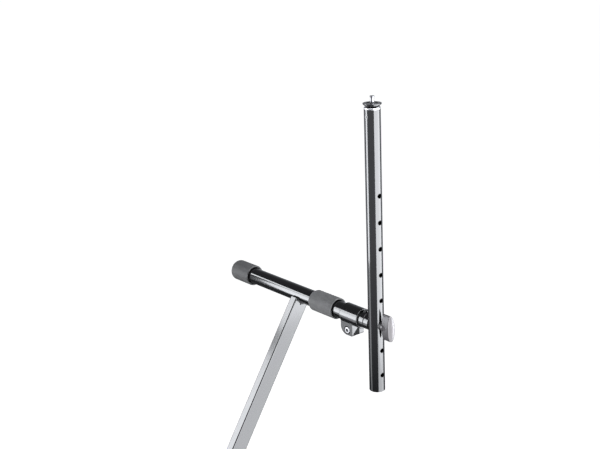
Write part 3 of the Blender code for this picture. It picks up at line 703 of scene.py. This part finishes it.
def build_pivot_knob():
    low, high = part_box("pivot_knob")
    radius = max(high.z - PIVOT.z, high.y)
    hub = 8 * MM

    def lobed(inset, x):
        loop = []
        for i in range(144):
            angle = math.tau * i / 144
            lobe = 3 * MM * (1 - math.cos(6 * angle)) / 2
            r = radius - lobe - inset
            loop.append(spot((0, 0, PIVOT.z), "X", r * math.cos(angle), r * math.sin(angle), x))
        return loop

    def circle(r, x):
        angles = [math.tau * i / 144 for i in range(144)]
        return [spot((0, 0, PIVOT.z), "X", r * math.cos(a), r * math.sin(a), x) for a in angles]

    edge = 2.4 * MM
    start = low.x + hub
    loops = [circle(8.4 * MM, low.x), circle(11.6 * MM, low.x), circle(12 * MM, low.x + 0.4 * MM)]
    loops += [circle(15.6 * MM, start - 0.4 * MM), circle(16.4 * MM, start)]
    for k in range(6):
        turn = math.pi / 2 * k / 5
        loops.append(lobed(edge * (1 - math.sin(turn)), start + edge * (1 - math.cos(turn))))
    for k in range(6):
        turn = math.pi / 2 * k / 5
        loops.append(lobed(edge * (1 - math.cos(turn)), high.x - edge * (1 - math.sin(turn))))
    loops += [circle(15 * MM, high.x - 0.2 * MM), circle(14 * MM, high.x - 1.2 * MM)]
    loops += [circle(9 * MM, high.x - 1.2 * MM), circle(2 * MM, high.x - 1.2 * MM)]
    inner_depth = low.x + 19.5 * MM
    loops += [circle(2 * MM, inner_depth), circle(8.4 * MM, inner_depth)]
    knob = skin("lobed_knob", loops, ring=True)
    set_piece(knob, "pivot_knob", BLACK_NYLON, "black_plastic", "pivot_knob")


# ---------------------------------------------------------------- clamp at the arm's end

def build_clamp():
    low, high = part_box("clamp_collar")
    radius = high.z - ARM.z
    length = high.x - low.x
    at = (low.x, ARM.y, ARM.z)
    corners = [(0, 0), (radius, 0, 2.2 * MM), (radius, length, 1.0 * MM), (0, length)]
    body = turned("clamp_body", filleted(corners, 5), at, "X")
    screw = middle("clamp_screw")
    bottom = ARM.z - low.z
    ear_left = low.x + 0.6 * MM
    ear_right = EAR_RIGHT
    half_width = 15 * MM
    sweep = [
        (ear_left, -6 * MM),
        (ear_left, -bottom, 22 * MM),
        (ear_right, -bottom, 3 * MM),
        (ear_right, -6 * MM),
    ]
    outline = [(p[0], p[1]) for p in filleted(sweep, 20)]
    ears = extruded("ears", outline, (0, ARM.y + half_width, ARM.z), "-Y", 2 * half_width)
    carve(body, ears, operation="UNION")
    slit_y = 3 * MM
    slit = extruded(
        "slit", [(-length, -0.75 * MM), (length, -0.75 * MM), (length, 0.75 * MM), (-length, 0.75 * MM)],
        ((low.x + high.x) / 2, ARM.y + slit_y, ARM.z - bottom - 2 * MM), "Z", bottom - 8 * MM,
    )
    head = size("clamp_screw").x / 2
    carve(
        body,
        rod("bore", ARM_RADIUS + FIT / 2, 2 * length, (low.x - length / 2, ARM.y, ARM.z), "X"),
        slit,
        rod("hole", M8_RADIUS + 0.4 * MM, 40 * MM, (screw.x, ARM.y - 20 * MM, screw.z), "Y", steps=SMALL),
        rod(
            "sink", head + SINK_CLEARANCE, 13.5 * MM, (screw.x, ARM.y - half_width - 5 * MM, screw.z), "Y",
            steps=SMALL,
        ),
        extruded(
            "pocket", hexagon(POCKET_RADIUS), (screw.x, ARM.y + half_width - 5 * MM, screw.z), "Y", 10 * MM
        ),
    )
    soften(body, 0.5 * MM)
    set_piece(body, "frame", CAST_COAT, "black_coat", "clamp_collar")

    low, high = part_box("clamp_liner")
    total = high.x - low.x
    inner = size("adapter_spigot").z / 2 + 0.25 * MM
    outer = ARM_RADIUS - TUBE_WALL - 0.25 * MM
    flange = (high.z - low.z) / 2
    corners = [
        (inner, 0), (outer, 0, 0.3 * MM), (outer, total - 1.4 * MM), (flange, total - 1.4 * MM, 0.2 * MM),
        (flange, total, 0.5 * MM), (inner, total, 0.4 * MM),
    ]
    liner = turned("liner_bush", filleted(corners, 3, True), (low.x, ARM.y, ARM.z), "X", closed=True)
    set_piece(liner, "frame", BLACK_NYLON, "black_plastic", "clamp_liner")
    build_clamp_screw()


def build_clamp_screw():
    low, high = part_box("clamp_screw")
    centre = (low + high) / 2
    head = (high.x - low.x) / 2
    head_length = 8.5 * MM - FIT + 0.7 * MM
    length = high.y - low.y
    corners = [
        (0, 0), (head, 0, 1.0 * MM), (head, head_length, 0.3 * MM), (M8_RADIUS, head_length),
        (M8_RADIUS, length, 0.8 * MM), (0, length),
    ]
    screw = turned("socket_screw", filleted(corners, 4), (centre.x, low.y, centre.z), "Y", 72)
    key = extruded("key", hexagon(3.6 * MM, 0.35), (centre.x, low.y - MM, centre.z), "Y", 6 * MM)
    carve(screw, key)
    soften(screw, 0.25 * MM)
    set_piece(screw, "clamp_screw", SCREW_STEEL, "zinc", "clamp_screw")
    # The socket's faces get the darker zinc: painted shade in the recess.
    paint_socket_shade(screw, SOCKET_SHADE_ZINC, (centre.x, low.y, centre.z), "Y", 3.7 * MM, 0.5 * MM)
    hex_nut("ear_nut", "clamp_nut", "frame", "Y")


def hex_nut(name, node, body, along):
    low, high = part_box(node)
    centre = (low + high) / 2
    ahead = AXES[along][2]
    thick = (high - low).dot(ahead)
    start = centre - ahead * thick / 2
    nut = extruded(name, hexagon(NUT_RADIUS), start, along, thick)
    thread = rod("thread", M8_RADIUS + 0.2 * MM, 3 * thick, centre - ahead * thick * 1.5, along, steps=SMALL)
    carve(nut, thread)
    soften(nut, 0.4 * MM)
    set_piece(nut, body, ZINC, "zinc", node)


# ---------------------------------------------------------------- spigot, head and saddle

def build_head():
    low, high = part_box("adapter_spigot")
    spigot_radius = (high.z - low.z) / 2
    tube = pipe(
        "spigot_tube", spigot_radius, spigot_radius - 2 * MM, high.x - low.x, (low.x, ARM.y, ARM.z), "X"
    )
    set_piece(tube, "spigot", COAT, "black_coat", "adapter_spigot")

    end = high.x + FIT
    low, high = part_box("swivel_head")
    screw = middle("head_lock_screw")
    radius = NECK_RADIUS
    core = spigot_radius - 2.4 * MM
    cup = spigot_radius + FIT
    left = HEAD_LEFT - low.x
    total = high.x - low.x
    corners = [
        (0, 0), (core, 0, 0.5 * MM), (core, end - low.x), (cup, end - low.x), (cup, left, 0.3 * MM),
        (radius, left, 0.9 * MM), (radius, total, 1.1 * MM), (0, total),
    ]
    head = turned("head_casting", filleted(corners, 4), (low.x, ARM.y, ARM.z), "X")
    boss_top = high.z - ARM.z
    boss_foot = 14.4 * MM
    boss = rod(
        "boss", 5.2 * MM, boss_top - boss_foot, (screw.x, ARM.y, ARM.z + boss_foot), "Z", 0.6 * MM, SMALL
    )
    carve(head, boss, operation="UNION")
    carve(
        head,
        rod(
            "bolt_hole", M8_RADIUS + BOLT_CLEARANCE, 60 * MM, (low.x - MM, ARM.y, ARM.z), "X",
            steps=SMALL,
        ),
        rod("screw_hole", 2.8 * MM, 8 * MM, (screw.x, ARM.y, ARM.z + 13 * MM), "Z", steps=32),
        extruded("pocket", hexagon(POCKET_RADIUS), (low.x - 6.8 * MM, ARM.y, ARM.z), "X", 13.6 * MM),
    )
    set_piece(head, "mast", CAST_COAT, "black_coat", "swivel_head")

    low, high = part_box("head_lock_screw")
    grub = rod("grub_screw", 2.5 * MM, high.z - low.z, (screw.x, ARM.y, low.z), "Z", 0.3 * MM, 40)
    carve(grub, extruded("key", hexagon(1.4 * MM), (screw.x, ARM.y, high.z - 2 * MM), "Z", 4 * MM))
    set_piece(grub, "lock_screw", ZINC, "zinc", "head_lock_screw")
    hex_nut("head_nut", "captive_nut", "mast", "X")
    build_saddle()


def build_saddle():
    low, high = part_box("saddle_block")
    flare = (high.z - low.z) / 2
    total = high.x - low.x
    neck = NECK_RADIUS
    corners = [
        (0, 0), (neck, 0, 0.9 * MM), (neck, total * 0.42, 6 * MM), (flare, total - 1.4 * MM, 0.8 * MM),
        (flare, total + 6 * MM), (0, total + 6 * MM),
    ]
    saddle = turned("saddle_casting", filleted(corners, 5), (low.x, ARM.y, ARM.z), "X")
    stop = extruded(
        "stop", round_rectangle(20 * MM, 60 * MM, 0.2 * MM),
        (high.x + 10 * MM, ARM.y, ARM.z - 30 * MM), "Z", 60 * MM,
    )
    carve(
        saddle,
        stop,
        rod("seat", MAST_RADIUS + FIT, 80 * MM, (MAST.x, ARM.y, ARM.z - 40 * MM), "Z"),
        rod(
            "bolt_hole", M8_RADIUS + BOLT_CLEARANCE, 40 * MM, (low.x - MM, ARM.y, ARM.z), "X",
            steps=SMALL,
        ),
    )
    soften(saddle, 0.35 * MM)
    set_piece(saddle, "mast", CAST_COAT, "black_coat", "saddle_block")


# ---------------------------------------------------------------- mast and stud

def build_mast():
    low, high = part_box("mast_tube")
    length = high.z - low.z
    at = (MAST.x, ARM.y, low.z)
    tube = pipe("mast_column", MAST_RADIUS, MAST_RADIUS - TUBE_WALL, length, at, "Z", 0.5 * MM, 144)
    start = MAST.x - 2 * MAST_RADIUS
    tools = []
    for step in range(-HOLES_BELOW, HOLES_ABOVE + 1):
        at = (start, ARM.y, ARM.z + step * HOLE_PITCH)
        tools.append(rod("hole", HOLE_RADIUS, 4 * MAST_RADIUS, at, "X", steps=SMALL))
    carve(tube, *tools)
    crimp(tube, high.z - DENT_DROP)
    set_piece(tube, "mast", COAT, "black_coat", "mast_tube")

    low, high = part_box("mast_top_plug")
    total = high.z - low.z
    plug = 12 * MM
    inner = MAST_RADIUS - TUBE_WALL - FIT
    hole = size("desk_stud").x / 2 * 0.82 + FIT
    corners = [
        (hole, 0), (inner, 0, 0.4 * MM), (inner, plug), (MAST_RADIUS, plug, 0.15 * MM),
        (MAST_RADIUS, total, 1.3 * MM), (hole, total, 0.3 * MM),
    ]
    ring = turned("top_ring", filleted(corners, 6, True), (MAST.x, ARM.y, low.z), "Z", closed=True)
    set_piece(ring, "mast", ZINC, "zinc", "mast_top_plug")

    low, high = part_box("mast_bottom_plug")
    radius = (high.x - low.x) / 2
    foot = rod("bottom_plug", radius, high.z - low.z, (MAST.x, ARM.y, low.z), "Z", 0.8 * MM, 72)
    set_piece(foot, "mast", BLACK_NYLON, "black_plastic", "mast_bottom_plug")
    build_stud()


def crimp(tube, z):
    """A round dent, pressed into the tube's front, that grips the top plug."""
    front = -math.pi / 2
    shape = bmesh.new()
    shape.from_mesh(tube.data)
    tall = 12 * MM

    def angle_of(face):
        centre = face.calc_center_median()
        return math.atan2(centre.y - ARM.y, centre.x - MAST.x)

    near = [f for f in shape.faces if abs(angle_of(f) - front) < 0.5 and f.calc_area() > 1e-6]
    sides = dict.fromkeys(e for f in near for e in f.edges)
    edges = [e for e in sides if abs(e.verts[0].co.z - e.verts[1].co.z) > tall]
    cuts = [z + DENT_RADIUS * 1.6 * (2 * k / 16 - 1) for k in range(17)]
    geometry = near + edges + list(dict.fromkeys(v for f in near for v in f.verts))
    for height in cuts:
        done = bmesh.ops.bisect_plane(
            shape, geom=geometry, dist=1e-7, plane_co=(0, 0, height), plane_no=(0, 0, 1)
        )
        geometry = done["geom"]
    for v in shape.verts:
        if abs(v.co.z - z) > DENT_RADIUS * 1.7:
            continue
        away = Vector((v.co.x - MAST.x, v.co.y - ARM.y))
        if away.y > 0:
            continue
        distance = math.hypot(v.co.x - MAST.x, v.co.z - z) / DENT_RADIUS
        if distance < 1.4:
            push = DENT_DEPTH * math.exp(-3.2 * distance * distance)
            v.co.x -= away.normalized().x * push
            v.co.y -= away.normalized().y * push
    shape.to_mesh(tube.data)
    shape.free()


def threaded_loops(at, radius, depth, pitch, start, end, sides=40, rows_per_turn=10):
    """Loops of a screw thread: the radius rises and falls along a helix."""
    count = int((end - start) / pitch * rows_per_turn)
    loops = []
    for k in range(count + 1):
        z = start + (end - start) * k / count
        loop = []
        for i in range(sides):
            angle = math.tau * i / sides
            phase = (z / pitch - i / sides) % 1
            r = radius - depth * abs(2 * phase - 1)
            loop.append(Vector((at[0] + r * math.cos(angle), at[1] + r * math.sin(angle), z)))
        loops.append(loop)
    return loops


def circle_loop(at, radius, z, sides=40):
    angles = [math.tau * i / sides for i in range(sides)]
    return [Vector((at[0] + radius * math.cos(a), at[1] + radius * math.sin(a), z)) for a in angles]


def build_stud():
    low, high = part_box("desk_stud")
    at = (MAST.x, ARM.y)
    head = (high.x - low.x) / 2
    shank = head * 0.82
    top = high.z
    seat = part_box("stud_lock_disc")[1].z
    loops = [circle_loop(at, shank, low.z)]
    loops += threaded_loops(at, shank, 0.35 * MM, 1.25 * MM, low.z + 10.5 * MM, seat - 0.6 * MM)
    loops += [
        circle_loop(at, shank, seat - 0.3 * MM),
        circle_loop(at, shank, top - 3.0 * MM),
        circle_loop(at, shank * 0.96, top - 2.6 * MM),
        circle_loop(at, shank, top - 2.2 * MM),
        circle_loop(at, head - 0.2 * MM, top - 1.6 * MM),
        circle_loop(at, head, top - 1.4 * MM),
        circle_loop(at, head, top - 0.6 * MM),
        circle_loop(at, head - 0.2 * MM, top - 0.25 * MM),
        circle_loop(at, head - 0.6 * MM, top),
    ]
    stud = skin("desk_pin", loops)
    set_piece(stud, "mast", STUD_STEEL, "zinc", "desk_stud")

    low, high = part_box("stud_lock_disc")
    radius = (high.x - low.x) / 2
    height = high.z - low.z
    bore = shank + 0.25 * MM
    corners = [
        (bore, 0, 0.2 * MM),
        (radius * 0.55, 0, 2 * MM),
        (radius * 0.8, height * 0.27, 5 * MM),
        (radius, height * 0.74, 1.2 * MM),
        (radius, height, 0.5 * MM),
        (radius - 6 * MM, height, 0.6 * MM),
        (radius - 7 * MM, height - 0.9 * MM, 0.4 * MM),
        (bore, height - 0.9 * MM, 0.3 * MM),
    ]
    disc = turned("lock_disc_nut", filleted(corners, 5, True), (MAST.x, ARM.y, low.z), "Z", closed=True)
    set_piece(disc, "lock_disc", CAST_COAT, "black_coat", "stud_lock_disc")


# ---------------------------------------------------------------- wing knob

def build_knob():
    low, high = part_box("knob_washer")
    radius = (high.z - low.z) / 2
    washer = rod("curved_washer", radius, high.x - low.x, (low.x, ARM.y, ARM.z), "X", 0.5 * MM, 72)
    carve(
        washer,
        rod("seat", MAST_RADIUS + FIT, 40 * MM, (MAST.x, ARM.y, ARM.z - 20 * MM), "Z"),
        rod(
            "bolt_hole", M8_RADIUS + BOLT_CLEARANCE, 30 * MM, (low.x - MM, ARM.y, ARM.z), "X",
            steps=SMALL,
        ),
    )
    set_piece(washer, "knob_washer", BLACK_NYLON, "black_plastic", "knob_washer")

    low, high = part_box("knob_grip")
    hub_left = low.x
    blade_left = low.x + 2 * MM
    blade_right = high.x
    half_height = (high.z - low.z) / 2
    half_width = BLADE_HALF_WIDTH
    sides = 96

    def oval(half_w, half_h, x, power=2.0):
        loop = []
        for i in range(sides):
            a = math.tau * i / sides
            c, s = math.cos(a), math.sin(a)
            y = half_w * math.copysign(abs(c) ** (2 / power), c)
            z = half_h * math.copysign(abs(s) ** (2 / power), s)
            loop.append(Vector((x, ARM.y + y, ARM.z + z)))
        return loop

    edge = 1.2 * MM
    loops = []
    for k in range(5):
        turn = math.pi / 2 * k / 4
        inset = edge * (1 - math.sin(turn))
        x = blade_left + edge * (1 - math.cos(turn))
        loops.append(oval(half_width - inset, half_height - inset, x))
    for part in (0.25, 0.5, 0.75):
        waist = 0.35 * MM * math.sin(math.pi * part)
        x = blade_left + (blade_right - blade_left) * part
        loops.append(oval(half_width - waist, half_height - waist * 0.4, x))
    for k in range(4):
        turn = math.pi / 2 * k / 3
        inset = 0.5 * MM * (1 - math.cos(turn))
        x = blade_right - 0.5 * MM * (1 - math.sin(turn))
        loops.append(oval(half_width - inset, half_height - inset, x))
    grip = skin("wing_grip", loops)
    hub_corners = [
        (0, 0), (8.5 * MM, 0, 0.6 * MM), (8.5 * MM, 5 * MM, 4 * MM), (6 * MM, 12 * MM), (0, 12 * MM),
    ]
    hub = turned("hub", filleted(hub_corners, 5), (hub_left, ARM.y, ARM.z), "X", 72)
    carve(grip, hub, operation="UNION")
    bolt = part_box("knob_bolt")[1].x
    carve(
        grip,
        rod(
            "bolt_hole", M8_RADIUS + FIT, bolt + FIT - hub_left + MM, (hub_left - MM, ARM.y, ARM.z), "X",
            steps=SMALL,
        ),
    )
    set_piece(grip, "mast_knob", GREY_NYLON, "grey_plastic", "knob_grip")

    low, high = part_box("knob_face_cap")
    dome = high.x - low.x
    seam = 1.0 * MM
    loops = [
        oval(half_width - seam, half_height - seam, low.x),
        oval(half_width - seam, half_height - seam, low.x + 0.35 * MM),
    ]
    rows = 14
    for k in range(rows):
        turn = math.pi / 2 * k / rows
        scale = math.cos(turn) ** 0.9
        x = low.x + 0.4 * MM + (dome - 0.4 * MM) * math.sin(turn)
        loops.append(oval((half_width) * scale, (half_height - 0.4 * MM) * scale, x))
    loops.append(oval(0.15 * MM, 0.6 * MM, high.x))
    cap = skin("wing_cap", loops)
    set_piece(cap, "mast_knob", PALE_NYLON, "pale_plastic", "knob_face_cap")


# ---------------------------------------------------------------- stage, light and camera

def build_stage():
    shape = bmesh.new()
    bmesh.ops.create_grid(shape, x_segments=8, y_segments=8, size=30)
    mesh = bpy.data.meshes.new("studio_floor")
    shape.to_mesh(mesh)
    shape.free()
    floor = bpy.data.objects.new("studio_floor", mesh)
    bpy.context.scene.collection.objects.link(floor)
    finish = Finish("pale_floor", (0.82, 0.82, 0.82), 0.9)
    finish.shader.inputs["Specular IOR Level"].default_value = 0.1
    finish.shader.inputs["Emission Color"].default_value = (1, 1, 1, 1)
    finish.shader.inputs["Emission Strength"].default_value = FLOOR_GLOW
    mesh.materials.append(finish.material)
    floor.visible_glossy = False


def build_world():
    """White behind the object, a soft room for reflections and an even fill for diffuse light."""
    world = bpy.data.worlds.new("studio")
    bpy.context.scene.world = world
    world.use_nodes = True
    nodes, links = world.node_tree.nodes, world.node_tree.links

    def background(strength, colour=(1, 1, 1)):
        made = nodes.new("ShaderNodeBackground")
        made.inputs["Color"].default_value = (*colour, 1)
        made.inputs["Strength"].default_value = strength
        return made

    def choose(fac, first, second):
        mix = nodes.new("ShaderNodeMixShader")
        links.new(fac, mix.inputs["Fac"])
        links.new(first.outputs[0], mix.inputs[1])
        links.new(second.outputs[0], mix.inputs[2])
        return mix

    height = nodes.new("ShaderNodeSeparateXYZ")
    links.new(nodes.new("ShaderNodeTexCoord").outputs["Generated"], height.inputs[0])
    level = nodes.new("ShaderNodeMapRange")
    level.inputs["From Min"].default_value = -1
    links.new(height.outputs["Z"], level.inputs["Value"])
    ramp = nodes.new("ShaderNodeValToRGB")
    stops = ramp.color_ramp.elements
    stops.remove(stops[1])
    for i, (degrees, brightness) in enumerate(ROOM):
        place = (math.sin(math.radians(degrees)) + 1) / 2
        stop = stops.new(place) if i else stops[0]
        stop.position = place
        stop.color = (brightness * 0.95, brightness * 0.98, brightness * 1.05, 1)
    links.new(level.outputs["Result"], ramp.inputs["Fac"])
    room = background(1)
    links.new(ramp.outputs["Color"], room.inputs["Color"])
    ray = nodes.new("ShaderNodeLightPath")
    fill = choose(ray.outputs["Is Glossy Ray"], background(AMBIENT, (0.97, 0.985, 1)), room)
    seen = choose(ray.outputs["Is Camera Ray"], fill, background(1.1))
    links.new(seen.outputs[0], nodes["World Output"].inputs["Surface"])


def panel(name, centre, target, width, height, radiance, diffuse=False, glossy=True):
    """A softbox that faces a point. radiance is its brightness, whatever its size."""
    light = bpy.data.lights.new(name, "AREA")
    light.shape = "RECTANGLE"
    light.size = width
    light.size_y = height
    light.energy = radiance * width * height * math.pi
    if not diffuse:
        light.color = SOFTBOX_TINT
    lamp = bpy.data.objects.new(name, light)
    bpy.context.scene.collection.objects.link(lamp)
    back = (Vector(centre) - Vector(target)).normalized()
    up = Vector((0, 0, 1)) if abs(back.z) < 0.9 else Vector((1, 0, 0))
    side = up.cross(back).normalized()
    up = back.cross(side)
    turn = Matrix((side, up, back)).transposed().to_4x4()
    turn.translation = Vector(centre)
    lamp.matrix_world = turn
    lamp.visible_camera = False
    lamp.visible_diffuse = diffuse
    lamp.visible_glossy = glossy
    return lamp


def upright_panel(name, azimuth, distance, width, low, high, radiance):
    """A softbox standing round the mast, seen only in reflections."""
    a = math.radians(azimuth)
    x = MAST.x + distance * math.cos(a)
    y = ARM.y + distance * math.sin(a)
    z = (low + high) / 2
    return panel(name, (x, y, z), (MAST.x, ARM.y, z), width, high - low, radiance)


def build_lights():
    upright_panel("right_softbox", 20, 1.25, 2.3, 0.08, 2.2, KEY)
    upright_panel("right_low", 20, 1.25, 2.3, -0.8, 0.08, KEY * 0.66)
    upright_panel("left_softbox", -133, 1.5, 0.7, 0.34, 1.12, KEY)
    upright_panel("left_gap", -133, 1.5, 0.7, 1.12, 1.2, KEY * 0.35)
    upright_panel("left_upper", -139, 1.5, 0.95, 1.2, 1.42, KEY)
    upright_panel("left_floor_glow", -133, 1.5, 0.7, -0.7, 0.34, KEY * 0.2)
    panel("overhead_softbox", (0.3, 0, 2.7), (0.2, 0.2, 1), 1.6, 1.6, KEY * 0.6)
    panel("key", (1.6, 0.6, 1.9), (0.1, 0.24, 0.8), 0.9, 0.9, KEY_DIFFUSE, True, False)
    panel("fill", (-0.6, -1.6, 1.9), (0.1, 0.24, 0.7), 1.2, 1.2, FILL_DIFFUSE, True, False)


def build_camera():
    azimuth, elevation, roll = (math.radians(x) for x in CAMERA_ANGLES)
    back = Vector((
        math.sin(azimuth) * math.cos(elevation),
        -math.cos(azimuth) * math.cos(elevation),
        math.sin(elevation),
    ))
    level = Vector((math.cos(azimuth), math.sin(azimuth), 0))
    upright = back.cross(level)
    side = level * math.cos(roll) + upright * math.sin(roll)
    up = upright * math.cos(roll) - level * math.sin(roll)
    lens = bpy.data.cameras.new("camera")
    lens.sensor_width = CAMERA_SENSOR
    lens.lens = CAMERA_LENS
    lens.clip_start = 0.05
    camera = bpy.data.objects.new("camera", lens)
    bpy.context.scene.collection.objects.link(camera)
    place = Matrix((side, up, back)).transposed().to_4x4()
    place.translation = Vector(CAMERA_PLACE)
    camera.matrix_world = place
    bpy.context.scene.camera = camera


def dress_hidden_nodes():
    """Finishes for the CAD pieces that stay as they are: those inside the tubes and bores."""
    looks = {
        "pivot_sleeve_leg": ZINC,
        "pivot_sleeve_strut": ZINC,
        "pivot_knob_insert": ZINC,
        "knob_bolt": ZINC,
        "spigot_end_plug": BLACK_NYLON,
    }
    for name, look in looks.items():
        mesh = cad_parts[name].data
        mesh.materials.clear()
        mesh.materials.append(look)


build_camera()
build_stage()
build_world()
build_lights()
build_arm()
rubber_cap("arm_cap", "arm_end_cap", "frame", "-X", ARM_RADIUS, False)
build_sleeve()
build_floor_bar("front", "frame")
build_floor_bar("rear", "strut")
build_legs()
build_pivot()
build_clamp()
build_head()
build_mast()
build_knob()
dress_hidden_nodes()
bpy.context.scene.view_settings.view_transform = "Standard"
